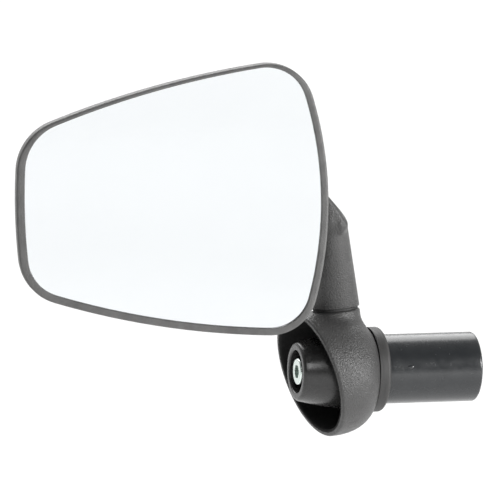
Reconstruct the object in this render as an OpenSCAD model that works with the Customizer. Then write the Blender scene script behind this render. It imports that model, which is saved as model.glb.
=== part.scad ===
/* [Bar plug] */
// Outer diameter of the sleeve that the part is held by
sleeve_d = 22.2; // [18:0.1:26]
// Length of the sleeve from the collar's face to its free end
sleeve_l = 31.5; // [24:0.5:45]
// Straight bore of the sleeve
sleeve_bore_d = 14.8; // [12:0.1:16]
// Width of the expansion slot
slot_w = 2; // [1:0.1:3]
// Outer diameter of the collar
collar_d = 27.2; // [24:0.1:32]

/* [Clamp screw] */
// Thread diameter of the clamp screw
screw_d = 5; // [4:0.5:6]
// Length of the clamp screw under its head
screw_l = 50; // [45:1:60]
// Distance from the collar's face to the face of the screw head
screw_x = 27.8; // [24:0.1:32]
// Diameter of the screw head
screw_head_d = 8.5; // [7:0.1:10]

/* [Bell] */
// Half length of the bell's rounded profile
bell_a = 24.4; // [20:0.1:30]
// Radius of the bell
bell_b = 20.1; // [16:0.1:26]
// Exponent of the rounded profile, 2 is an ellipse
bell_p = 3.3; // [2:0.1:5]
// Wall of the bell
bell_wall = 2.2; // [1.6:0.1:3.5]
// Dip of the mouth
mouth_dip = 15.3; // [0:0.1:30]
// Turn of the mouth
mouth_turn = 8.9; // [0:0.1:20]

/* [Boss] */
// Radius of the boss at its front
boss_front_r = 9.2; // [8:0.1:12]
// Radius of the boss at its base
boss_base_r = 12.7; // [10:0.1:14]
// Distance from the collar's face to the front of the boss
boss_x = 28.2; // [24:0.1:32]
// Diameter of the recess in the boss
recess_d = 13.7; // [11:0.1:15]

/* [Arm] */
// Radius of the arm and of the neck where they meet
neck_r = 7.8; // [6:0.1:10]
// Lean of the arm's axis
lean = 5.4; // [0:0.1:15]
// Height of the arm's shoulder over the joint
arm_h = 31; // [20:0.5:45]

/* [Head] */
// Turn of the head about the arm's axis
head_turn = -11; // [-45:1:45]
// Distance of the head's front from the arm's axis
head_front = 24; // [20:0.5:32]
// Depth of the head from front to back
head_depth = 16.6; // [12:0.1:24]
// Width of the rim on the right, top, left and bottom
rim_w = [2.3, 1.2, 2.8, 2.3]; // [0.8:0.1:2.9]
// How far the rim overlaps the mirror plate
rim_lap = 0.3; // [0.2:0.05:0.3]
// Thickness of the mirror plate
plate_t = 1.8; // [1:0.1:3]

/* [Hidden] */
joint = [-14.8, 0, 19.6];
bell_mid = 20.74;
bell_dip = 2.3;
mouth_mid = [-23.7, 0.5, 0];
ball_x = -47;
seat_r = 45;
gap = 0.2;
fit = 0.06;
seat_wall = 2.4;
liner_t = 1.2;
// Corner centres, corner radii and side radii, from the bottom right round to the bottom left.
edge = [[[-22.8, 11.7], [-18.5, 68.3], [-82.8, 54.7], [-86.1, 28.8]],
  [15.1, 15, 17.5, 15.8], [120, 300, 190, 260]];
// Way that each side faces, in the order of rim_w.
side_face = [[1, 0], [0, 1], [-1, 0], [0, -1]];
window = [[for (i = [0 : 3]) window_corner(i)], [for (i = [0 : 3]) edge[1][i] - corner_w(i)],
  [for (i = [0 : 3]) edge[2][i] - rim_w[i]]];
middle = [-53, 41];
arm_screw_at = [[-13, 31], [-13, 41.5]];
screw_seat = 14.3;
screw_hole_r = screw_d / 2 + fit;
pivot_r = 2;
pivot_hole_r = pivot_r + fit;
sleeve_floor = 6;
taper_x = 19;
slot_x = 8;
nut_x = 22.5;
rim_depth = 4;
lip_depth = 1.4;
plate_gap = 0.05;
arm_foot = 0.65;
arm_top = [-1.2, -10];
arm_pad = [-11, 36];

// Rim width at corner i, between its two sides.
function corner_w(i) = (rim_w[i] + rim_w[(i + 3) % 4]) / 2;

// Corner centre i of the outline that each side's rim width leaves open.
function window_corner(i) = edge[0][i] + side_face[i] * (corner_w(i) - rim_w[i])
  + side_face[(i + 3) % 4] * (corner_w(i) - rim_w[(i + 3) % 4]);

// Centre of the arc that closes side i and touches the corner arcs at both its ends.
function side_mid(form, i) =
  let(a = form[0][i], b = form[0][(i + 1) % 4], p = form[2][i] - form[1][i],
      q = form[2][i] - form[1][(i + 1) % 4], d = norm(b - a),
      t = (p * p - q * q + d * d) / (2 * d), h = sqrt(p * p - t * t), e = (b - a) / d)
  a + e * t + [-e[1], e[0]] * h;

function angle(v) = atan2(v[1], v[0]);
function after(a, b) = b < a ? b + 360 : b;

function arc(c, r, a, b, n, skip) =
  [for (k = [skip : n - skip]) let(t = a + (b - a) * k / n) c + r * [cos(t), sin(t)]];

// A rounded outline, set in by i.
function outline(form, i) = [for (k = [0 : 3])
  let(c = form[0][k], last = side_mid(form, (k + 3) % 4), next = side_mid(form, k),
      a = angle(c - last), b = after(a, angle(c - next)),
      e = after(b, angle(form[0][(k + 1) % 4] - next)))
  each concat(arc(c, form[1][k] - i, a, b, 10, 0), arc(next, form[2][k] - i, b, e, 8, 1))];

// Lays a shape drawn in the plane of the plate between two depths behind the head's front.
module layer(d0, d1) {
  translate([0, d1 - head_front, 0]) rotate([90, 0, 0]) linear_extrude(d1 - d0) children();
}

module slab(d0, d1, i) {
  layer(d0, d1) polygon(outline(edge, i));
}

module pane(d0, d1, i) {
  layer(d0, d1) polygon(outline(window, i));
}

module cap(d0, d1, i, s) {
  layer(d0, d1) translate(middle) scale([s, s]) translate(-middle) polygon(outline(edge, i));
}

// The arm's axis is Z in this frame.
module stem() {
  translate(joint) rotate([0, -lean, 0]) children();
}

// The arm's frame turned so that the plate faces -Y.
module head() {
  stem() rotate([0, 0, head_turn]) children();
}

module along_x(x0, x1, r0, r1) {
  translate([x0, 0, 0]) rotate([0, 90, 0]) cylinder(h = x1 - x0, r1 = r0, r2 = r1, $fn = 96);
}

// Turns a profile about the X axis. Its X is the radius and its Y is the distance along the axis.
module turned() {
  rotate([0, 90, 0]) rotate_extrude($fn = 96) children();
}

// The centre of the ball seat, with X along the bell's own axis.
module bell_frame() {
  translate([ball_x, 0, 0]) rotate([0, bell_dip, 0]) children();
}

module hexagon(h, flats) {
  cylinder(h = h, d = flats / cos(30), $fn = 6);
}

module ring(h, r_out, r_in) {
  difference() {
    cylinder(h = h, r = r_out, $fn = 72);
    translate([0, 0, -1]) cylinder(h = h + 2, r = r_in, $fn = 72);
  }
}

// Half of the bell's rounded profile, from its open end to its base.
module egg(a, b) {
  polygon([for (t = [-60 : 7.5 : 90]) [t == 90 ? 0 : b * pow(cos(t), 2 / bell_p),
    bell_mid + sign(t) * a * pow(abs(sin(t)), 2 / bell_p)], [0, bell_mid - 20]]);
}

module bar_sleeve() {
  color([0.2, 0.21, 0.22]) difference() {
    union() {
      along_x(0, sleeve_l - 0.8, sleeve_d / 2, sleeve_d / 2);
      along_x(sleeve_l - 0.8, sleeve_l, sleeve_d / 2, sleeve_d / 2 - 0.8);
    }
    along_x(-1, sleeve_floor, screw_hole_r, screw_hole_r);
    along_x(sleeve_floor - 2, taper_x, sleeve_bore_d / 2, sleeve_bore_d / 2);
    along_x(taper_x, sleeve_l + 0.1, sleeve_bore_d / 2, sleeve_bore_d / 2 + 1.8);
    translate([slot_x, 0, -slot_w / 2]) cube([40, 20, slot_w]);
  }
}

module wedge() {
  color([0.12, 0.12, 0.13]) difference() {
    union() {
      along_x(19.6, 30.5, 7.4, 8.97);
      translate([21, 0, -0.85]) cube([9.5, 9.8, 1.7]);
    }
    along_x(19, 31, screw_hole_r, screw_hole_r);
    translate([nut_x, 0, 0]) rotate([0, 90, 0]) hexagon(10, 8.2);
  }
}

module wedge_nut() {
  color([0.75, 0.77, 0.76]) translate([nut_x, 0, 0]) rotate([0, 90, 0]) difference() {
    hexagon(4, 8);
    translate([0, 0, -1]) cylinder(h = 6, r = screw_hole_r, $fn = 48);
  }
}

module main_screw() {
  color([0.72, 0.76, 0.74]) difference() {
    union() {
      along_x(-screw_x, -screw_x + 0.4, screw_head_d / 2 - 0.4, screw_head_d / 2);
      along_x(-screw_x + 0.4, -screw_x + 5, screw_head_d / 2, screw_head_d / 2);
      along_x(-screw_x + 4.9, -screw_x + 5 + screw_l, screw_d / 2, screw_d / 2);
    }
    translate([-screw_x - 1, 0, 0]) rotate([0, 90, 0]) hexagon(3.6, 4);
  }
}

module lock_washer() {
  color([0.7, 0.72, 0.72]) translate([-screw_x + 5, 0, 0]) rotate([0, 90, 0]) difference() {
    ring(1.2, 4.3, screw_hole_r);
    translate([0, -0.4, -1]) cube([6, 0.8, 4]);
  }
}

module main_washer() {
  color([0.7, 0.72, 0.72]) translate([-screw_x + 6.2, 0, 0]) rotate([0, 90, 0])
    ring(1, 5, screw_hole_r);
}

module collar() {
  r = collar_d / 2;
  face = -ball_x - 0.05;
  color([0.16, 0.16, 0.16]) translate([ball_x, 0, 0]) turned() difference() {
    polygon([[screw_hole_r, 38], [r, 38], [r, face - 1], [r - 1, face], [screw_hole_r, face]]);
    circle(r = seat_r + gap, $fn = 200);
  }
}

module boss() {
  r1 = recess_d / 2;
  base_r = boss_base_r - 1.8;
  front = -ball_x - boss_x;
  floor_x = -ball_x - screw_x + 7.2;
  color([0.05, 0.05, 0.05]) translate([ball_x, 0, 0]) turned() intersection() {
    polygon([[screw_hole_r, floor_x], [r1, floor_x], [r1, front], [boss_front_r - 0.9, front],
      [boss_front_r + 0.2, front + 1.2], [boss_base_r - 0.4, -ball_x - 12],
      [base_r, -ball_x - 7.5], [base_r, 45], [screw_hole_r, 45]]);
    circle(r = seat_r - seat_wall - liner_t - 2 * gap, $fn = 200);
  }
}

module liner() {
  color([0.6, 0.6, 0.58]) bell_frame() turned() intersection() {
    difference() {
      circle(r = seat_r - seat_wall - gap, $fn = 200);
      circle(r = seat_r - seat_wall - gap - liner_t, $fn = 200);
    }
    translate([5.7, 0]) square([5.8, 50]);
  }
}

module bell_outside() {
  intersection() {
    egg(bell_a, bell_b);
    circle(r = seat_r, $fn = 200);
    translate([7.2, -30]) square([40, 80]);
  }
}

module bell_inside() {
  intersection() {
    union() {
      egg(bell_a - bell_wall, bell_b - bell_wall);
      translate([0, bell_mid]) square([15.8, 24]);
    }
    circle(r = seat_r - seat_wall, $fn = 200);
    translate([3, -30]) square([40, 80]);
  }
}

module bell() {
  color([0.13, 0.13, 0.13]) difference() {
    union() {
      difference() {
        bell_frame() turned() bell_outside();
        stem() translate([-60, -40, 0]) cube([120, 80, 20]);
      }
      stem() translate([0, 0, -3.5]) cylinder(h = 3.5, r = neck_r, $fn = 96);
      intersection() {
        stem() translate([0, 0, -5.2]) cylinder(h = 4, r1 = neck_r + 3.6, r2 = neck_r, $fn = 96);
        bell_frame() turned() egg(bell_a + 0.5, bell_b + 0.5);
      }
    }
    bell_frame() turned() bell_inside();
    translate(mouth_mid) rotate([0, -mouth_dip, mouth_turn]) translate([-60, -50, -50])
      cube([60, 100, 100]);
    stem() translate([0, 0, -12]) cylinder(h = 10.4, r = 4.8, $fn = 72);
    stem() translate([0, 0, -3]) cylinder(h = 4, r = pivot_hole_r, $fn = 48);
  }
}

module pivot_washer() {
  color([0.7, 0.72, 0.72]) stem() translate([0, 0, -2.4]) ring(0.8, 4.5, pivot_hole_r);
}

module pivot_spring() {
  color([0.7, 0.72, 0.72]) stem() translate([0, 0, -3.3]) difference() {
    ring(0.9, 3.6, pivot_hole_r);
    translate([0, -0.35, -1]) cube([6, 0.7, 3]);
  }
}

module pivot_screw() {
  color([0.72, 0.76, 0.74]) stem() difference() {
    union() {
      translate([0, 0, -5.5]) cylinder(h = 2.2, r = 3.5, $fn = 72);
      translate([0, 0, -3.4]) cylinder(h = 15.4, r = pivot_r, $fn = 48);
    }
    translate([0, 0, -6]) hexagon(2, 2.5);
  }
}

module pivot_nut() {
  color([0.72, 0.76, 0.74]) head() translate([0, 0, 5.1]) rotate([0, 0, 30]) difference() {
    hexagon(3.2, 7);
    translate([0, 0, -1]) cylinder(h = 6, r = pivot_hole_r, $fn = 48);
  }
}

module swivel_washer() {
  color([0.05, 0.05, 0.05]) stem() translate([0, 0, 0.05]) ring(0.55, neck_r - 0.6, pivot_hole_r);
}

// Outside of the head behind the rim, grown by g.
module shell_solid(g) {
  hull() {
    slab(rim_depth + 0.05, rim_depth + 0.2, 0.1 - g);
    slab(7, 7.2, 0.5 - g);
    slab(9.4 + g, 9.6 + g, 2 - g);
    slab(11.8 + g, 12 + g, 6 - g);
    slab(13.8 + g, 14 + g, 12 - g);
    cap(head_depth - 0.2 + g, head_depth + g, 12, 0.5);
  }
}

module shell_room() {
  hull() {
    slab(5.6, 5.8, 2.2);
    slab(7, 7.2, 2.6);
    slab(8.2, 8.4, 4.4);
    slab(9.9, 10.1, 8);
    slab(11.8, 12, 13);
    cap(head_depth - 2.2, head_depth - 2, 12, 0.46);
  }
}

module arm() {
  color([0.14, 0.14, 0.14]) head() difference() {
    union() {
      translate([0, 0, arm_foot]) cylinder(h = 3, r = neck_r, $fn = 96);
      hull() {
        translate([0, 0, 1.5]) cylinder(h = 2, r = neck_r - 0.05, $fn = 40);
        translate([arm_top[0], arm_top[1], arm_h - 0.4]) scale([6.1, 9, 1])
          cylinder(h = 0.4, r = 1, $fn = 40);
      }
      hull() {
        translate([arm_top[0] + 0.1, arm_top[1] + 0.6, arm_h - 3]) scale([6.1, 8.6, 1])
          cylinder(h = 3, r = 1, $fn = 40);
        translate([arm_pad[0], -3, arm_pad[1]]) rotate([90, 0, 0]) cylinder(h = 13, r = 9, $fn = 40);
      }
    }
    shell_solid(0.08);
    translate([0, 0, -1]) cylinder(h = 14, r = pivot_hole_r, $fn = 48);
    translate([-3.6, -4.2, 5]) cube([7.2, 16, 3.4]);
    for (p = arm_screw_at) screw_line(p, 3.6) cylinder(h = 12, r = 1.5, $fn = 48);
  }
}

// Runs towards the plate from a depth under the arm's axis, at a screw's place.
module screw_line(p, from) {
  translate([p[0], -from, p[1]]) rotate([90, 0, 0]) children();
}

module arm_screw(p) {
  color([0.72, 0.76, 0.74]) head() difference() {
    union() {
      screw_line(p, screw_seat) cylinder(h = 1.8, r = 2.8, $fn = 48);
      screw_line(p, 4.6) cylinder(h = screw_seat - 4.5, r = 1.48, $fn = 48);
    }
    screw_line(p, screw_seat + 0.8) cylinder(h = 3, r = 1, $fn = 6);
  }
}

module arm_screw_low() {
  arm_screw(arm_screw_at[0]);
}

module arm_screw_high() {
  arm_screw(arm_screw_at[1]);
}

module head_shell() {
  color([0.14, 0.14, 0.14]) head() difference() {
    union() {
      difference() {
        union() {
          shell_solid(0);
          slab(rim_depth - 0.55, rim_depth + 0.2, 2.6);
        }
        shell_room();
        slab(3, 6, 8);
      }
      intersection() {
        shell_solid(0);
        for (p = arm_screw_at) screw_line(p, 0) cylinder(h = screw_seat, r = 3.6, $fn = 48);
      }
    }
    for (p = arm_screw_at) screw_line(p, 0) cylinder(h = 16, r = 1.5, $fn = 48);
  }
}

module backing_pad() {
  color([0.1, 0.1, 0.1]) head() difference() {
    slab(3.3, 3.42, 3.4);
    slab(3, 4, 12);
  }
}

module mirror_plate() {
  color([0.9, 0.93, 0.95]) head()
    pane(lip_depth + plate_gap, lip_depth + plate_gap + plate_t, -rim_lap);
}

module bezel() {
  color([0.16, 0.16, 0.16]) head() difference() {
    hull() {
      slab(0, 0.1, 0.5);
      slab(0.5, rim_depth, 0);
    }
    pane(-1, lip_depth + 0.6, 0);
    pane(lip_depth, rim_depth + 1, -rim_lap - 0.1);
  }
}

bar_sleeve();
wedge();
wedge_nut();
main_screw();
main_washer();
lock_washer();
collar();
boss();
liner();
bell();
pivot_washer();
pivot_spring();
pivot_screw();
pivot_nut();
swivel_washer();
arm();
arm_screw_low();
arm_screw_high();
head_shell();
backing_pad();
mirror_plate();
bezel();
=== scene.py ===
import math

import bmesh
import bpy
import numpy as np
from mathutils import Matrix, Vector


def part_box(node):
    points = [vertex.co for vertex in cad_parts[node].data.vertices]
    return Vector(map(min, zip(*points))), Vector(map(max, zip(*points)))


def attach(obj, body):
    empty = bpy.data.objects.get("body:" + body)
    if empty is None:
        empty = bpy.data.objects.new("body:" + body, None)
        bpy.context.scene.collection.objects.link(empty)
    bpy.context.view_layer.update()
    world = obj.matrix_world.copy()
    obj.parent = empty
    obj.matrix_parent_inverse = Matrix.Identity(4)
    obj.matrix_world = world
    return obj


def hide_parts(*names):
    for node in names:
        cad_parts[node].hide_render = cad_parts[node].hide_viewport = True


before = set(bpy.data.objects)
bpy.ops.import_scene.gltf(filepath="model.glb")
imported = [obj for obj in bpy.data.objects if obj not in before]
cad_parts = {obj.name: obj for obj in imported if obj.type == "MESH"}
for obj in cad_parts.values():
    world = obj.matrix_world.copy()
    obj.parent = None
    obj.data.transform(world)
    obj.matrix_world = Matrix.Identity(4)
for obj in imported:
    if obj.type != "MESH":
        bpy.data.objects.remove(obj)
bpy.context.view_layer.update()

# ---------------------------------------------------------------- sizes, in millimetres
MM = 0.001


def low(node):
    """Lowest corner of a CAD node, in millimetres."""
    return [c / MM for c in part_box(node)[0]]


def high(node):
    """Highest corner of a CAD node, in millimetres."""
    return [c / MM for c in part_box(node)[1]]


# ball seat, as in the CAD source
BALL_X = -47.0
SEAT_R = 45.0
SEAT_WALL = 2.4
LINER_T = 1.2
GAP = 0.2
SCREW_HOLE_R = 2.56
BOSS_WIDEST_X = -12.0
BOSS_CROWN = 0.35

# bell
BELL_A = 24.4
BELL_B = 20.1
BELL_P = 3.3
BELL_WALL = 2.2
BELL_MID = 20.74
BELL_DIP = 2.3
BELL_HOLE_R = 7.2
BELL_SEAT_R = 15.8
MOUTH_AT = (-23.7, 0.5, 0.0)
MOUTH_DIP = 15.3
MOUTH_TURN = 8.9
RIM_ROUND = 0.7
NECK_R = 7.8
NECK_FILLET = 2.6
COUNTERBORE_R = 4.8
COUNTERBORE_FLOOR = -1.6
PIVOT_HOLE_R = 2.06

# arm's axis and head's plane
JOINT = (-14.8, 0.0, 19.6)
LEAN = 5.4
HEAD_TURN = -11.0
HEAD_FRONT = 24.0
HEAD_DEPTH = 16.6
ARM_FOOT = 0.65
ARM_SHOULDER = 30.0
ARM_TOP_AT = (-1.2, -10.0)
ARM_TOP_R = (6.1, 9.0)
PAD_AT = (-11.0, 36.3)
PAD_R = 9.5
SHOULDER_R = 2.5
SHOULDER_BLEND = 1.6
SLANT = 54.0
SLANT_FROM = (4.9, 30.2)
SLANT_ROUND = 1.4
# block at the arm's top: place at the shoulder, then its change by the pad
BLOCK_FRONT = (-18.6, 6.8)
BLOCK_BACK = (-1.6, -1.4)
BLOCK_ROUND = 3.0
NUT_SLOT = ((-3.6, 3.6), (-4.2, 12.0), (5.0, 8.4))

# head's outline: corner arcs joined by long side arcs, side i running from corner i to the next
EDGE = (((-22.8, 11.7), (-18.5, 68.3), (-82.8, 54.7), (-86.1, 28.8)), (15.1, 15.0, 17.5, 15.8),
        (120.0, 300.0, 190.0, 260.0))
SIDE_FACES = ((1, 0), (0, 1), (-1, 0), (0, -1))
RIM_WIDTHS = (2.3, 1.2, 2.8, 2.3)
MIDDLE = (-53.0, 41.0)
RIM_DEPTH = 4.0
RIM_EDGE_R = 0.8
LIP_R = 0.3
LIP_DEPTH = 1.4
RIM_LAP = 0.3
PLATE_DEPTH = 1.45
PLATE_T = 1.8


# ---------------------------------------------------------------- frames
def axes(lean, turn):
    """Rows are the X, Y and Z axes of a frame leaned about Y, then turned about its own Z."""
    a = math.radians(lean)
    t = math.radians(turn)
    x = np.array([math.cos(a), 0, math.sin(a)])
    y = np.array([0.0, 1.0, 0.0])
    z = np.array([-math.sin(a), 0, math.cos(a)])
    return np.array([x * math.cos(t) + y * math.sin(t), y * math.cos(t) - x * math.sin(t), z])


STEM = (axes(LEAN, 0), np.array(JOINT))
HEAD = (axes(LEAN, HEAD_TURN), np.array(JOINT))
BELL = (axes(-BELL_DIP, 0), np.array([BALL_X, 0, 0]))
ROW = (np.eye(3), np.zeros(3))


def to_frame(points, place):
    return (points - place[1]) @ place[0].T


def to_row(points, place):
    return np.asarray(points, float) @ place[0] + place[1]


# ---------------------------------------------------------------- meshes
def mesh_object(name, verts, faces, smooth_angle=40):
    """A mesh object from millimetres, shaded smooth but for edges sharper than smooth_angle."""
    mesh = bpy.data.meshes.new(name)
    mesh.from_pydata((np.asarray(verts) * MM).tolist(), [], [list(map(int, f)) for f in faces])
    mesh.update()
    bm = bmesh.new()
    bm.from_mesh(mesh)
    bmesh.ops.recalc_face_normals(bm, faces=bm.faces)
    bm.to_mesh(mesh)
    bm.free()
    obj = bpy.data.objects.new(name, mesh)
    bpy.context.scene.collection.objects.link(obj)
    shade(obj, smooth_angle)
    return obj


def shade(obj, angle):
    mesh = obj.data
    mesh.polygons.foreach_set("use_smooth", [True] * len(mesh.polygons))
    mesh.set_sharp_from_angle(angle=math.radians(angle))


def finish_piece(obj, body, material, stands_for=()):
    obj.data.materials.clear()
    obj.data.materials.append(material)
    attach(obj, body)
    for node in stands_for:
        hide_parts(node)
    return obj


def cut(obj, tool):
    """Takes tool's solid out of obj and removes the tool."""
    step = obj.modifiers.new("cut", "BOOLEAN")
    step.operation = "DIFFERENCE"
    step.solver = "EXACT"
    step.object = tool
    bpy.context.view_layer.objects.active = obj
    bpy.ops.object.modifier_apply(modifier=step.name)
    bpy.data.objects.remove(tool)


def fillet(points, steps=8):
    """A closed outline from (x, y, radius) corners, each rounded by an arc of its radius."""
    out = []
    n = len(points)
    for i, (x, y, r) in enumerate(points):
        p = np.array([x, y], float)
        a = np.array(points[i - 1][:2], float) - p
        b = np.array(points[(i + 1) % n][:2], float) - p
        la = np.linalg.norm(a)
        lb = np.linalg.norm(b)
        a /= la
        b /= lb
        half = math.acos(max(-1.0, min(1.0, float(a @ b)))) / 2
        if r <= 0 or half > math.radians(88):
            out.append(p)
            continue
        back = min(r / math.tan(half), 0.49 * la, 0.49 * lb)
        r = back * math.tan(half)
        middle = p + (a + b) / np.linalg.norm(a + b) * r / math.sin(half)
        u = p + a * back - middle
        v = p + b * back - middle
        for k in range(steps + 1):
            t = k / steps
            w = u * (1 - t) + v * t
            out.append(middle + w / np.linalg.norm(w) * r)
    return np.array(out)


def refine(outline, longest):
    """Splits the long straight stretches of a closed outline."""
    out = []
    for i, p in enumerate(outline):
        q = outline[(i + 1) % len(outline)]
        n = max(1, int(np.linalg.norm(q - p) / longest))
        out += [p + (q - p) * k / n for k in range(n)]
    return np.array(out)


def lathe(name, outline, sides=160, smooth_angle=40, shape=None):
    """Turns a closed (x, radius) outline about the X axis. shape(x, radius, angle) may change the radius."""
    turn = np.arange(sides) * 2 * math.pi / sides
    rings = []
    for x, r in outline:
        rr = shape(x, r, turn) if shape else np.full(sides, r)
        rings.append(np.stack([np.full(sides, x), rr * np.cos(turn), rr * np.sin(turn)], -1))
    verts, faces = stack(rings, closed=True)
    return mesh_object(name, verts, faces, smooth_angle)


def stack(rings, closed=False):
    """Joins rings of equal count by quads; closed also joins the last ring to the first."""
    n = len(rings[0])
    verts = np.concatenate(rings)
    faces = []
    for i in range(len(rings) if closed else len(rings) - 1):
        a = i * n
        b = (i + 1) % len(rings) * n
        faces += [(a + k, a + (k + 1) % n, b + (k + 1) % n, b + k) for k in range(n)]
    return verts, faces


def loft(name, rings, smooth_angle=40):
    """Joins rings by quads and closes both ends with a fan round their middles."""
    verts, faces = stack(rings)
    n = len(rings[0])
    for ring, start in ((rings[0], 0), (rings[-1], len(verts) - n)):
        verts = np.concatenate([verts, ring.mean(0)[None]])
        tip = len(verts) - 1
        faces += [(start + k, start + (k + 1) % n, tip) for k in range(n)]
    return mesh_object(name, verts, faces, smooth_angle)


# ---------------------------------------------------------------- solids from distance fields
def soft_max(a, b, k):
    h = np.maximum(k - np.abs(a - b), 0) / k
    return np.maximum(a, b) + h * h * k / 4


def soft_min(a, b, k):
    return -soft_max(-a, -b, k)


def gradient(field, points, h=0.01):
    out = np.empty_like(points)
    for i in range(3):
        step = np.zeros(3)
        step[i] = h
        out[:, i] = (field(points + step) - field(points - step)) / (2 * h)
    return out


def solid(field, lowest, highest, step):
    """Meshes field < 0 with one vertex in each grid cell on the surface, then draws them onto it."""
    lowest = np.array(lowest, float) - 2 * step
    highest = np.array(highest, float) + 2 * step
    count = np.ceil((highest - lowest) / step).astype(int) + 1
    line = [lowest[i] + np.arange(count[i]) * step for i in range(3)]
    grid = np.stack(np.meshgrid(*line, indexing="ij"), -1).reshape(-1, 3)
    value = np.concatenate([field(part) for part in np.array_split(grid, 12)]).reshape(count)
    inside = value < 0
    corners = [(i, j, k) for i in (0, 1) for j in (0, 1) for k in (0, 1)]

    def corner(array, c):
        return array[c[0]:count[0] - 1 + c[0], c[1]:count[1] - 1 + c[1], c[2]:count[2] - 1 + c[2]]

    full = sum(corner(inside, c).astype(np.int8) for c in corners)
    active = (full > 0) & (full < 8)
    cells = np.argwhere(active)
    index = np.full(active.shape, -1)
    index[active] = np.arange(len(cells))
    total = np.zeros((len(cells), 3))
    hits = np.zeros(len(cells))
    for c in corners:
        for axis in range(3):
            if c[axis]:
                continue
            d = list(c)
            d[axis] = 1
            va = corner(value, c)[active]
            vb = corner(value, tuple(d))[active]
            crossed = (va < 0) != (vb < 0)
            t = np.where(crossed, va / np.where(crossed, va - vb, 1), 0)
            at = np.array(c, float) + np.zeros((len(cells), 1))
            at[:, axis] += t
            total += at * crossed[:, None]
            hits += crossed
    verts = lowest + (cells + total / hits[:, None]) * step
    faces = []
    for axis in range(3):
        u = (axis + 1) % 3
        v = (axis + 2) % 3
        first = [slice(None)] * 3
        second = [slice(None)] * 3
        first[axis] = slice(0, -1)
        second[axis] = slice(1, None)
        change = inside[tuple(first)] != inside[tuple(second)]
        edges = np.argwhere(change)
        edges = edges[(edges[:, u] > 0) & (edges[:, v] > 0)]
        quad = []
        for du, dv in ((1, 1), (0, 1), (0, 0), (1, 0)):
            at = edges.copy()
            at[:, u] -= du
            at[:, v] -= dv
            quad.append(index[at[:, 0], at[:, 1], at[:, 2]])
        quad = np.stack(quad, -1)
        outward = inside[edges[:, 0], edges[:, 1], edges[:, 2]]
        quad[~outward] = quad[~outward][:, ::-1]
        faces.append(quad)
    faces = np.concatenate(faces)
    for _ in range(4):
        g = gradient(field, verts)
        size = np.maximum((g * g).sum(-1), 0.05)
        move = -g * (field(verts) / size)[:, None]
        length = np.linalg.norm(move, axis=-1, keepdims=True)
        verts = verts + move * np.minimum(1, 0.5 * step / np.maximum(length, 1e-9))
    return verts, faces


def solid_object(name, field, box, step, place, smooth_angle=50):
    verts, faces = solid(field, box[0], box[1], step)
    return mesh_object(name, to_row(verts, place), faces, smooth_angle)


# ---------------------------------------------------------------- head outline
def window_form():
    """The edge outline set in by each side's rim width."""
    corners = []
    radii = []
    for i in range(4):
        before = (i + 3) % 4
        mean = (RIM_WIDTHS[i] + RIM_WIDTHS[before]) / 2
        shift = np.array(SIDE_FACES[i]) * (mean - RIM_WIDTHS[i])
        shift = shift + np.array(SIDE_FACES[before]) * (mean - RIM_WIDTHS[before])
        corners.append(tuple(np.array(EDGE[0][i]) + shift))
        radii.append(EDGE[1][i] - mean)
    return tuple(corners), tuple(radii), tuple(r - w for r, w in zip(EDGE[2], RIM_WIDTHS))


WINDOW = window_form()


def side_middle(form, i):
    """Centre of the arc that closes side i and touches the corner arcs at both its ends."""
    corners, radii, sides = form
    a = np.array(corners[i])
    b = np.array(corners[(i + 1) % 4])
    p = sides[i] - radii[i]
    q = sides[i] - radii[(i + 1) % 4]
    d = np.linalg.norm(b - a)
    t = (p * p - q * q + d * d) / (2 * d)
    e = (b - a) / d
    return a + e * t + np.array([-e[1], e[0]]) * math.sqrt(p * p - t * t)


def outline(form, inset, corner_steps=28, side_steps=40):
    """A head outline, set in by inset."""
    corners, radii, sides = form
    out = []
    for i in range(4):
        c = np.array(corners[i])
        last = side_middle(form, (i + 3) % 4)
        following = side_middle(form, i)
        a = math.atan2(*(c - last)[::-1])
        b = math.atan2(*(c - following)[::-1])
        e = math.atan2(*(np.array(corners[(i + 1) % 4]) - following)[::-1])
        b += 2 * math.pi if b < a else 0
        e += 2 * math.pi if e < b else 0
        for k in range(corner_steps):
            t = a + (b - a) * k / corner_steps
            out.append(c + (radii[i] - inset) * np.array([math.cos(t), math.sin(t)]))
        for k in range(side_steps):
            t = b + (e - b) * k / side_steps
            out.append(following + (sides[i] - inset) * np.array([math.cos(t), math.sin(t)]))
    return np.array(out)


def head_ring(form, inset, depth, scale=1.0):
    """An outline at a depth behind the head's front, in the row's frame."""
    flat = np.array(MIDDLE) + (outline(form, inset) - np.array(MIDDLE)) * scale
    points = np.stack([flat[:, 0], np.full(len(flat), depth - HEAD_FRONT), flat[:, 1]], -1)
    return to_row(points, HEAD)


# ---------------------------------------------------------------- materials
def nodes_of(name):
    material = bpy.data.materials.new(name)
    material.use_nodes = True
    tree = material.node_tree
    shader = tree.nodes["Principled BSDF"]
    return material, tree, shader


def noise(tree, scale, detail=3.0, stretch=(1, 1, 1)):
    place = tree.nodes.new("ShaderNodeTexCoord")
    mapping = tree.nodes.new("ShaderNodeMapping")
    mapping.inputs["Scale"].default_value = stretch
    texture = tree.nodes.new("ShaderNodeTexNoise")
    texture.inputs["Scale"].default_value = scale
    texture.inputs["Detail"].default_value = detail
    tree.links.new(place.outputs["Object"], mapping.inputs["Vector"])
    tree.links.new(mapping.outputs["Vector"], texture.inputs["Vector"])
    return texture.outputs["Fac"]


def ramp(tree, source, stops):
    node = tree.nodes.new("ShaderNodeValToRGB")
    for i, (at, colour) in enumerate(stops):
        stop = node.color_ramp.elements[i] if i < 2 else node.color_ramp.elements.new(at)
        stop.position = at
        stop.color = (*colour, 1)
    tree.links.new(source, node.inputs["Fac"])
    return node.outputs["Color"]


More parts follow.
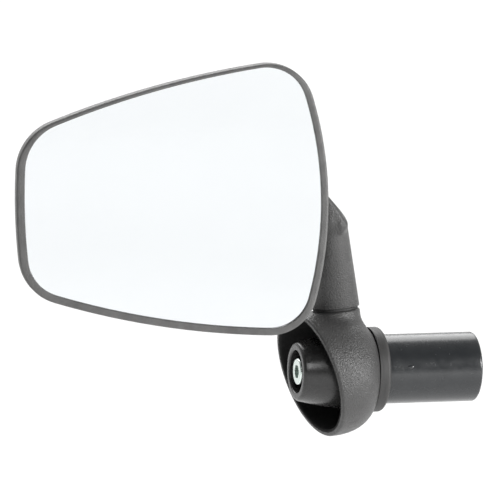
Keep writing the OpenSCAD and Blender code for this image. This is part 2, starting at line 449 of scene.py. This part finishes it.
def spread(tree, source, lowest, highest):
    node = tree.nodes.new("ShaderNodeMapRange")
    node.inputs["From Min"].default_value = 0.3
    node.inputs["From Max"].default_value = 0.7
    node.inputs["To Min"].default_value = lowest
    node.inputs["To Max"].default_value = highest
    tree.links.new(source, node.inputs["Value"])
    return node.outputs["Result"]


def bump(tree, shader, source, depth):
    """depth is the height of the relief, in metres."""
    node = tree.nodes.new("ShaderNodeBump")
    node.inputs["Strength"].default_value = 1.0
    node.inputs["Distance"].default_value = depth
    tree.links.new(source, node.inputs["Height"])
    tree.links.new(node.outputs["Normal"], shader.inputs["Normal"])


def plastic(name, dark, light, rough, grain=0.0, grain_scale=2600, gloss=0.5, stretch=(1, 1, 1)):
    """Moulded plastic: uneven tone, uneven roughness and a fine relief."""
    material, tree, shader = nodes_of(name)
    shader.inputs["IOR"].default_value = 1.5
    shader.inputs["Specular IOR Level"].default_value = gloss
    tone = noise(tree, 220, 4, stretch)
    colour = ramp(tree, tone, ((0.3, dark), (0.7, light)))
    tree.links.new(colour, shader.inputs["Base Color"])
    patch = noise(tree, 500, 3, stretch)
    tree.links.new(spread(tree, patch, *rough), shader.inputs["Roughness"])
    if grain:
        bump(tree, shader, noise(tree, grain_scale, 2.5, stretch), grain)
    return material


def metal(name, dark, light, rough, grain_scale=900, stretch=(1, 1, 1)):
    material, tree, shader = nodes_of(name)
    shader.inputs["Metallic"].default_value = 1.0
    tone = noise(tree, grain_scale, 4, stretch)
    colour = ramp(tree, tone, ((0.3, dark), (0.7, light)))
    tree.links.new(colour, shader.inputs["Base Color"])
    tree.links.new(spread(tree, tone, *rough), shader.inputs["Roughness"])
    bump(tree, shader, noise(tree, grain_scale * 3, 2, stretch), 0.000004)
    return material


def grey(level):
    return (level * 1.01, level, level * 0.985)


GRAIN = plastic("grain_black", grey(0.034), grey(0.043), (0.36, 0.48), 0.00030, 1900)
RIM = plastic("rim_black", grey(0.072), grey(0.104), (0.40, 0.52), 0.00018, 1900)
# painted shade: the bell's inner wall is the same plastic as its outside, drawn near black to stand in for
# the shade inside the bell
PAINTED_SHADE_INSIDE = plastic("bell_inside", grey(0.006), grey(0.010), (0.7, 0.85), 0.00006, 1400, 0.2)
GLOSS = plastic("boss_black", grey(0.018), grey(0.024), (0.22, 0.32), 0.00001, 900)
SLEEVE = plastic("sleeve_grey", (0.013, 0.0145, 0.016), (0.018, 0.0195, 0.021), (0.20, 0.28), 0.000002, 700)
COLLAR = plastic("collar_rubber", (0.018, 0.0177, 0.0174), (0.031, 0.0303, 0.0296), (0.50, 0.66),
                 0.00003, 900, stretch=(4, 0.4, 0.4))
WEDGE = plastic("wedge_black", grey(0.030), grey(0.040), (0.45, 0.6), 0.00002)
LINER = plastic("liner_white", (0.60, 0.59, 0.55), (0.70, 0.69, 0.65), (0.4, 0.5), 0.00001)
DARK = plastic("washer_black", grey(0.010), grey(0.016), (0.6, 0.75), 0.00001)
FOAM = plastic("pad_foam", grey(0.020), grey(0.035), (0.8, 0.95), 0.0001, 1800)
ZINC = metal("zinc", (0.60, 0.68, 0.64), (0.78, 0.84, 0.81), (0.20, 0.34))
MIRROR = metal("mirror_face", (0.93, 0.955, 0.97), (0.94, 0.965, 0.98), (0.015, 0.03), 60)


# ---------------------------------------------------------------- pieces
def gauge(x, rho, a, b, p):
    """Distance along the ray from the middle to a rounded profile of half length a and radius b."""
    size = np.hypot(x, rho)
    g = ((np.abs(x) / a) ** p + (rho / b) ** p) ** (1 / p)
    return size * (1 - 1 / np.maximum(g, 1e-6))


def bell_field(points):
    q = to_frame(points, BELL)
    x = q[:, 0]
    rho = np.hypot(q[:, 1], q[:, 2])
    reach = np.hypot(x, rho)
    s = to_frame(points, STEM)
    sr = np.hypot(s[:, 0], s[:, 1])
    body = soft_max(gauge(x - BELL_MID, rho, BELL_A, BELL_B, BELL_P), reach - SEAT_R, 0.4)
    neck = np.maximum(sr - NECK_R, -s[:, 2] - 7)
    body = soft_min(body, neck, NECK_FILLET)
    body = soft_max(body, s[:, 2], 1.0)
    room = gauge(x - BELL_MID, rho, BELL_A - BELL_WALL, BELL_B - BELL_WALL, BELL_P)
    seat = soft_max(rho - BELL_SEAT_R, BELL_MID - x, 0.5)
    room = soft_max(np.minimum(room, seat), reach - (SEAT_R - SEAT_WALL), 0.6)
    body = soft_max(body, -room, 0.4)
    dip = math.radians(MOUTH_DIP)
    turn = math.radians(MOUTH_TURN)
    out = -np.array([math.cos(dip) * math.cos(turn), math.cos(dip) * math.sin(turn), math.sin(dip)])
    body = soft_max(body, (points - np.array(MOUTH_AT)) @ out, RIM_ROUND)
    body = soft_max(body, -np.maximum(rho - BELL_HOLE_R, BELL_MID - x), 0.4)
    bore = np.maximum(np.maximum(sr - COUNTERBORE_R, s[:, 2] - COUNTERBORE_FLOOR), -12 - s[:, 2])
    body = soft_max(body, -bore, 0.3)
    return np.maximum(body, -np.maximum(sr - PIVOT_HOLE_R, -4 - s[:, 2]))


def uneven_capsule(x, y, a, ra, b, rb):
    """Distance to the outline that wraps a circle of radius ra at a and one of radius rb at b."""
    axis = np.array(b) - np.array(a)
    span = np.linalg.norm(axis)
    axis /= span
    along = (x - a[0]) * axis[0] + (y - a[1]) * axis[1]
    across = np.abs((x - a[0]) * axis[1] - (y - a[1]) * axis[0])
    slope = (ra - rb) / span
    rise = math.sqrt(1 - slope * slope)
    k = -across * slope + along * rise
    side = across * rise + along * slope - ra
    near = np.hypot(across, along) - ra
    far = np.hypot(across, along - span) - rb
    return np.where(k < 0, near, np.where(k > rise * span, far, side))


def arm_field(points):
    """The arm, in the head's frame."""
    u, v, w = points.T
    t = np.clip((w - ARM_FOOT) / (ARM_SHOULDER - ARM_FOOT), 0, 1)
    ru = NECK_R + (ARM_TOP_R[0] - NECK_R) * t
    rv = NECK_R + (ARM_TOP_R[1] - NECK_R) * t
    g = np.hypot((u - ARM_TOP_AT[0] * t) / ru, (v - ARM_TOP_AT[1] * t) / rv)
    column = (g - 1) * np.minimum(ru, rv)
    column = soft_max(column, ARM_FOOT - w, 0.5)
    shoulder_at = (ARM_TOP_AT[0] + ARM_TOP_R[0] - SHOULDER_R - SHOULDER_BLEND / 4, ARM_SHOULDER - 1.2)
    flat = uneven_capsule(u, w, shoulder_at, SHOULDER_R, PAD_AT, PAD_R)
    s = np.clip((shoulder_at[0] - u) / (shoulder_at[0] - PAD_AT[0]), 0, 1)
    front = BLOCK_FRONT[0] + BLOCK_FRONT[1] * s
    back = BLOCK_BACK[0] + BLOCK_BACK[1] * s
    block = soft_max(flat, np.maximum(v - back, front - v), BLOCK_ROUND)
    body = soft_min(column, block, SHOULDER_BLEND)
    slant = math.radians(SLANT)
    over = (u - SLANT_FROM[0]) * math.sin(slant) + (w - SLANT_FROM[1]) * math.cos(slant)
    body = soft_max(body, over, SLANT_ROUND)
    slot = np.maximum.reduce([np.abs(points[:, i] - (lo + hi) / 2) - (hi - lo) / 2
                              for i, (lo, hi) in enumerate(NUT_SLOT)])
    body = soft_max(body, -slot, 0.3)
    return np.maximum(body, -np.maximum(np.hypot(u, v) - PIVOT_HOLE_R, w - 13))


def make_bell():
    obj = solid_object("bell_moulding", bell_field, (low("bell"), high("bell")), 0.36, ROW)
    finish_piece(obj, "bell", GRAIN, ["bell"])
    # second material: painted shade for the bell's inner wall, set on the inner faces below; the other faces
    # keep the outside's plastic
    obj.data.materials.append(PAINTED_SHADE_INSIDE)
    for face in obj.data.polygons:
        q = to_frame(np.array(face.center)[None] / MM, BELL)
        wall = gauge(q[:, 0] - BELL_MID, np.hypot(q[:, 1], q[:, 2]), BELL_A, BELL_B, BELL_P)
        face.material_index = int(wall[0] < -0.6 * BELL_WALL and q[0, 0] < BELL_MID + BELL_B)
    return obj


def make_arm():
    box = ((-21.0, -20.5, 0.0), (8.5, 9.0, 47.0))
    obj = solid_object("arm_moulding", arm_field, box, 0.36, HEAD)
    return finish_piece(obj, "head", GRAIN, ["arm"])


def make_rim():
    steps = 6
    turn = [math.pi / 2 * k / steps for k in range(steps + 1)]
    section = [(EDGE, 0, RIM_DEPTH)]
    section += [(EDGE, RIM_EDGE_R * (1 - math.cos(t)), RIM_EDGE_R * (1 - math.sin(t))) for t in turn]
    section += [(WINDOW, -LIP_R * (1 - math.sin(t)), LIP_R * (1 - math.cos(t))) for t in turn]
    section += [(WINDOW, 0, LIP_DEPTH), (WINDOW, -0.4, LIP_DEPTH), (WINDOW, -0.4, RIM_DEPTH)]
    verts, faces = stack([head_ring(form, i, depth) for form, i, depth in section], closed=True)
    obj = mesh_object("rim_moulding", verts, faces, 50)
    return finish_piece(obj, "head", RIM, ["bezel"])


def make_shell():
    edge = 5.0
    bulge = 2.6
    wall = 2.0
    steps = 26

    def dome(outer, inset, k):
        t = math.pi / 2 * k / steps
        scale = max(math.cos(t), 0.0001) ** (2 / bulge)
        drop = 0 if outer else wall
        return head_ring(EDGE, inset, edge + (HEAD_DEPTH - drop - edge) * math.sin(t) ** (2 / bulge), scale)

    rings = [dome(True, 0.1, k) for k in range(steps, -1, -1)]
    lap = ((0.1, 4.3), (0.3, 4.08), (2.6, 4.08), (2.6, 3.45), (3.3, 3.45))
    rings += [head_ring(EDGE, inset, depth) for inset, depth in lap]
    rings += [dome(False, 3.3, k) for k in range(0, steps + 1)]
    obj = loft("shell_moulding", rings, 45)
    return finish_piece(obj, "head", GRAIN, ["head_shell"])


def make_plate():
    front = PLATE_DEPTH
    back = PLATE_DEPTH + PLATE_T
    bevel = 0.2
    section = ((bevel, front), (0, front + bevel), (0, back - bevel), (bevel, back))
    obj = loft("plate_glass", [head_ring(WINDOW, i - RIM_LAP, depth) for i, depth in section], 30)
    return finish_piece(obj, "head", MIRROR, ["mirror_plate"])


def seat_arc(radius, r0, r1, steps=14):
    """Points of a ball of that radius about the seat's centre, from distance r0 off the axis to r1."""
    rho = np.linspace(r0, r1, steps)
    return [(BALL_X + math.sqrt(radius ** 2 - r * r), r, 0) for r in rho]


def make_boss():
    x0 = low("boss")[0]
    rb = high("boss")[1]
    radius = SEAT_R - SEAT_WALL - LINER_T - 2 * GAP
    foot_r = rb - 1.4
    foot_x = BALL_X + math.sqrt(radius ** 2 - foot_r ** 2)
    front_r = 9.25
    recess_r = 6.85
    floor = x0 + 7.6
    steps = 8
    shape = [(floor, SCREW_HOLE_R, 0), (floor, recess_r, 0.4), (x0, recess_r, 0.45), (x0, front_r, 1.2)]
    for k in range(2, steps):
        t = k / steps
        crown = 4 * BOSS_CROWN * t * (1 - t)
        shape.append((x0 + (BOSS_WIDEST_X - x0) * t, front_r + (rb - front_r) * t + crown, 0))
    shape += [(BOSS_WIDEST_X, rb, 0.5), (foot_x, foot_r, 0.2)]
    shape += seat_arc(radius, foot_r - 0.3, SCREW_HOLE_R)
    obj = lathe("boss_moulding", refine(fillet(shape), 1.5))
    return finish_piece(obj, "seat", GLOSS, ["boss"])


def make_collar():
    r = high("collar")[1]
    face = high("collar")[0]
    seat = SEAT_R + 0.08
    lip = BALL_X + math.sqrt(seat ** 2 - r * r)
    shape = seat_arc(seat, SCREW_HOLE_R, r - 0.3) + [(lip, r, 0.15), (face, r, 1.3)]
    shape += [(face, SCREW_HOLE_R, 0)]
    obj = lathe("collar_ring", refine(fillet(shape), 0.8))
    return finish_piece(obj, "seat", COLLAR, ["collar"])


def make_sleeve():
    r = high("bar_sleeve")[1]
    end = high("bar_sleeve")[0]
    floor = 6
    taper = 19
    bore_r = 7.4
    mouth_r = 9.2
    shape = [(0, SCREW_HOLE_R, 0), (0, r, 0.3), (end, r, 1.0), (end, mouth_r, 0.3), (taper, bore_r, 2)]
    shape += [(floor, bore_r, 0.5), (floor, SCREW_HOLE_R, 0)]
    obj = lathe("sleeve_tube", refine(fillet(shape), 2.0), 192)
    tool = mesh_object("slot_tool", *box_mesh((8, 0, -1), (40, 20, 1)))
    cut(obj, tool)
    shade(obj, 35)
    return finish_piece(obj, "plug", SLEEVE, ["bar_sleeve"])


def box_mesh(lo, hi):
    verts = [(x, y, z) for x in (lo[0], hi[0]) for y in (lo[1], hi[1]) for z in (lo[2], hi[2])]
    faces = [(0, 1, 3, 2), (4, 6, 7, 5), (0, 4, 5, 1), (2, 3, 7, 6), (0, 2, 6, 4), (1, 5, 7, 3)]
    return verts, faces


def make_mould_mark():
    """The small raised oval on the sleeve's side."""
    rings = []
    r = high("bar_sleeve")[1]
    mid_x = 7.0
    mid_z = 1.5
    half_x = 1.15
    half_z = 0.55
    height = 0.22
    steps = 8
    for k in range(steps + 1):
        t = math.pi / 2 * k / steps
        a = np.linspace(0, 2 * math.pi, 40, endpoint=False)
        x = mid_x + half_x * math.cos(t) * np.cos(a)
        z = mid_z + half_z * math.cos(t) * np.sin(a)
        y = -np.sqrt(r * r - z * z) + 0.05 - height * math.sin(t)
        rings.append(np.stack([x, y, z], -1))
    obj = loft("sleeve_mark", rings)
    return finish_piece(obj, "plug", SLEEVE)


def hex_prism(x0, x1, flats):
    r = flats / math.sqrt(3)
    ring = [(r * math.cos(math.pi / 3 * k), r * math.sin(math.pi / 3 * k)) for k in range(6)]
    verts = [(x, y, z) for x in (x0, x1) for y, z in ring]
    faces = [tuple(range(6)), tuple(range(11, 5, -1))]
    faces += [(k, (k + 1) % 6, 6 + (k + 1) % 6, 6 + k) for k in range(6)]
    return verts, faces


def make_screw():
    face = low("main_screw")[0]
    end = high("main_screw")[0]
    head_r = 4.25
    head_l = 5.0
    shank_r = 2.5
    thread_from = end - 22.0
    thread_depth = 0.45
    pitch = 0.8
    ribs = 40
    rib_depth = 0.09

    def form(x, r, turn):
        if abs(r - head_r) < 0.01 and face + 0.8 < x < face + head_l - 0.5:
            return r - rib_depth * (0.5 + 0.5 * np.cos(turn * ribs))
        if shank_r - 0.1 < r < shank_r + 0.1 and x > thread_from:
            wave = ((x - thread_from) / pitch - turn / (2 * math.pi)) % 1
            return r - thread_depth * np.abs(2 * wave - 1)
        return np.full(len(turn), r)

    under = face + head_l
    shape = fillet([(face, 0.01, 0), (face, head_r, 0.5), (under, head_r, 0.15), (under, shank_r, 0.2),
                    (end, shank_r, 0.5), (end, 0.01, 0)])
    fine = []
    for i, p in enumerate(shape):
        q = shape[(i + 1) % len(shape)]
        shank = abs(p[1] - shank_r) < 0.01 and abs(q[1] - shank_r) < 0.01
        n = max(1, int(abs(q[0] - p[0]) / (0.1 if shank else 0.6)))
        fine += [p + (q - p) * k / n for k in range(n)]
    obj = lathe("clamp_screw", np.array(fine), 160, 40, form)
    cut(obj, mesh_object("key_tool", *hex_prism(face - 1, face + 2.6, 4.0)))
    shade(obj, 35)
    return finish_piece(obj, "clamp_screw", ZINC, ["main_screw"])


def dress_cad_nodes():
    """CAD nodes that stay in view or just inside keep their mesh and take a material."""
    looks = {
        "wedge": WEDGE, "wedge_nut": ZINC, "main_washer": ZINC, "lock_washer": ZINC, "liner": LINER,
        "pivot_washer": ZINC, "pivot_spring": ZINC, "pivot_screw": ZINC, "pivot_nut": ZINC,
        "swivel_washer": DARK, "arm_screw_low": ZINC, "arm_screw_high": ZINC, "backing_pad": FOAM,
    }
    for name, material in looks.items():
        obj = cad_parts[name]
        obj.data.materials.clear()
        obj.data.materials.append(material)
        shade(obj, 30)


# ---------------------------------------------------------------- stage
CAMERA_TURN = -18.0
CAMERA_RISE = 5.0
CAMERA_AWAY = 5.0
FIELD = 0.1600
VIEW_MIDDLE = (-0.04136, 0.0381)
FLOOR_DROP = 0.20
ROOM_DIM = 0.12
ROOM_BRIGHT = 0.9
OVERHEAD = 2.8
OVERHEAD_BACK = 38.0
OVERHEAD_SPREAD = 56.0
SENSOR = 36.0
FLOOR_HALF = 20


def view_axes():
    a = math.radians(CAMERA_TURN)
    e = math.radians(CAMERA_RISE)
    towards = Vector((math.sin(a) * math.cos(e), -math.cos(a) * math.cos(e), math.sin(e)))
    right = Vector((math.cos(a), math.sin(a), 0))
    return towards, right, towards.cross(right)


def make_camera():
    towards, right, up = view_axes()
    aim = right * VIEW_MIDDLE[0] + up * VIEW_MIDDLE[1]
    data = bpy.data.cameras.new("camera")
    data.sensor_width = SENSOR
    data.lens = SENSOR * CAMERA_AWAY / FIELD
    data.clip_start = 0.1
    data.clip_end = 100
    camera = bpy.data.objects.new("camera", data)
    camera.location = aim + towards * CAMERA_AWAY
    camera.rotation_euler = towards.to_track_quat("Z", "Y").to_euler()
    bpy.context.scene.collection.objects.link(camera)
    bpy.context.scene.camera = camera


def make_floor():
    material, tree, shader = nodes_of("floor_white")
    colour = ramp(tree, noise(tree, 3, 2), ((0.3, (0.90, 0.90, 0.90)), (0.7, (0.93, 0.93, 0.93))))
    tree.links.new(colour, shader.inputs["Base Color"])
    shader.inputs["Roughness"].default_value = 0.9
    mesh = bpy.data.meshes.new("floor")
    s = FLOOR_HALF
    z = -FLOOR_DROP
    mesh.from_pydata([(-s, -s, z), (s, -s, z), (s, s, z), (-s, s, z)], [], [(0, 1, 2, 3)])
    floor = bpy.data.objects.new("floor", mesh)
    floor.data.materials.append(material)
    bpy.context.scene.collection.objects.link(floor)


def soft_light(name, turn, rise, away, width, height, watts):
    """An area light aimed at the object from a compass turn and a rise, as the camera's are given."""
    a = math.radians(turn)
    e = math.radians(rise)
    towards = Vector((math.sin(a) * math.cos(e), -math.cos(a) * math.cos(e), math.sin(e)))
    data = bpy.data.lights.new(name, "AREA")
    data.shape = "RECTANGLE"
    data.size = width
    data.size_y = height
    data.energy = watts
    light = bpy.data.objects.new(name, data)
    light.location = Vector((-0.03, 0, 0.03)) + towards * away
    light.rotation_euler = towards.to_track_quat("Z", "Y").to_euler()
    bpy.context.scene.collection.objects.link(light)


def make_world():
    """A room that is bright behind the object and on its right, and dim in front and on its left."""
    world = bpy.data.worlds.new("studio")
    world.use_nodes = True
    tree = world.node_tree
    place = tree.nodes.new("ShaderNodeTexCoord")
    side = tree.nodes.new("ShaderNodeVectorMath")
    side.operation = "DOT_PRODUCT"
    side.inputs[1].default_value = (0.45, 0.89, 0.0)
    level = tree.nodes.new("ShaderNodeMapRange")
    level.interpolation_type = "SMOOTHSTEP"
    level.inputs["From Min"].default_value = -0.6
    level.inputs["From Max"].default_value = 0.9
    level.inputs["To Min"].default_value = ROOM_DIM
    level.inputs["To Max"].default_value = ROOM_BRIGHT
    tree.links.new(place.outputs["Generated"], side.inputs[0])
    tree.links.new(side.outputs["Value"], level.inputs["Value"])
    tree.links.new(level.outputs["Result"], tree.nodes["Background"].inputs["Strength"])
    tree.nodes["Background"].inputs["Color"].default_value = (1, 1, 1, 1)
    bpy.context.scene.world = world
    bpy.context.scene.view_settings.view_transform = "Standard"


def overhead_light():
    """A wide soft light above and behind the object, which also whitens the floor."""
    data = bpy.data.lights.new("overhead", "SUN")
    data.energy = OVERHEAD
    data.angle = math.radians(OVERHEAD_SPREAD)
    light = bpy.data.objects.new("overhead", data)
    light.rotation_euler = (math.radians(-OVERHEAD_BACK), 0, 0)
    bpy.context.scene.collection.objects.link(light)


make_camera()
make_floor()
make_world()
overhead_light()
soft_light("front", -13, 22, 1.2, 0.12, 0.40, 1.9)
soft_light("right", 44, 10, 1.2, 0.36, 0.36, 15.5)
for make in (make_bell, make_arm, make_rim, make_shell, make_plate, make_boss, make_collar, make_sleeve,
             make_mould_mark, make_screw, dress_cad_nodes):
    make()
